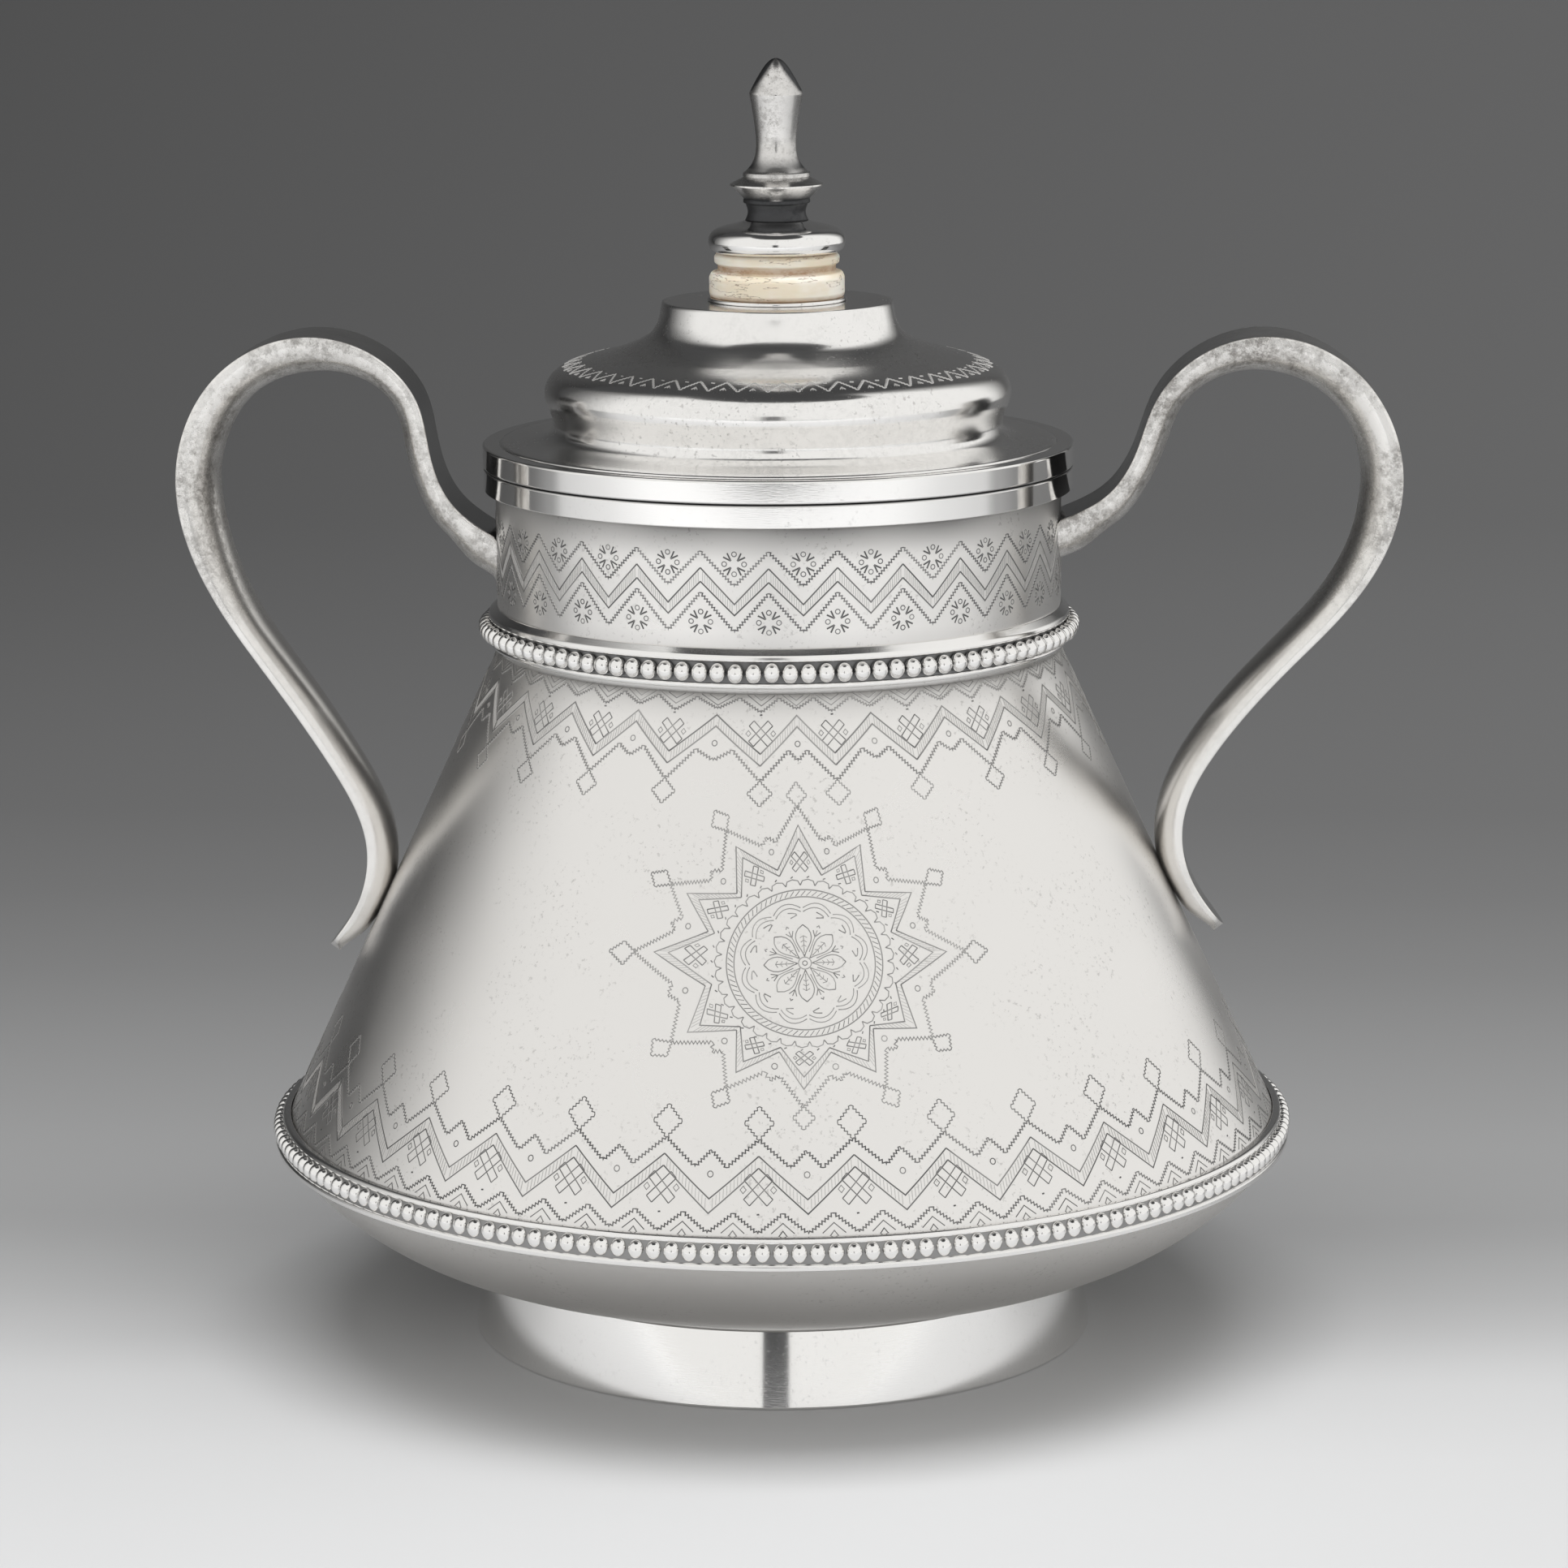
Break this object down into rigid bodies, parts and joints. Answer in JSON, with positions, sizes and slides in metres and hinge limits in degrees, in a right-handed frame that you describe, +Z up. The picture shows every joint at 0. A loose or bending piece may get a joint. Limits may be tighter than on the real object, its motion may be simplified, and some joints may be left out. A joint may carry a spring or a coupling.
{
  "type": "covered sugar bowl",
  "caption": "Covered sugar bowl: conical bowl on a ring foot, two scroll handles, beaded mouldings, and a stepped lift-off lid with a turned finial.",
  "frame": {"origin": "on the table, at the centre of the foot ring", "axes": "+Z up along the bowl's axis; X runs through both handles; the engraved front faces -Y"},
  "size_m": [0.1657, 0.1412, 0.1749],
  "materials": {
    "silver_polished": "polished silver with light tarnish and fine scratches",
    "silver_satin": "hand-worn satin silver with warm grey tarnish",
    "silver_oxidised": "beaded silver, bright on top and oxidised dark in its recesses",
    "silver_cast": "cast and filed silver, bright edges with speckled tarnish on the flats",
    "bone": "aged turned bone, cream with fine brown cracks, lightly polished"
  },
  "bodies": {
    "bowl": {"foot_ring": "silver_polished", "foot_collar": "silver_polished", "base_pan": "silver_satin", "body_shell": "silver_satin", "lower_bead_moulding": "silver_oxidised", "upper_bead_moulding": "silver_oxidised", "neck_collar": "silver_satin", "bowl_rim": "silver_polished", "handle_left": "silver_cast", "handle_right": "silver_cast"},
    "lid": {"lid_dome": "silver_polished", "lid_rim_band": "silver_polished", "lid_bezel": "silver_satin", "finial_plate": "silver_polished", "bone_insulator": "bone", "finial_bun": "silver_polished", "finial_knob": "silver_polished", "finial_stud": "silver_satin", "finial_washer": "silver_satin", "finial_nut": "silver_satin"}
  },
  "joints": [
    {"name": "lid_lift", "type": "slide", "parent": "bowl", "child": "lid", "axis": [0, 0, 1], "range_m": [0, 0.034]}
  ]
}
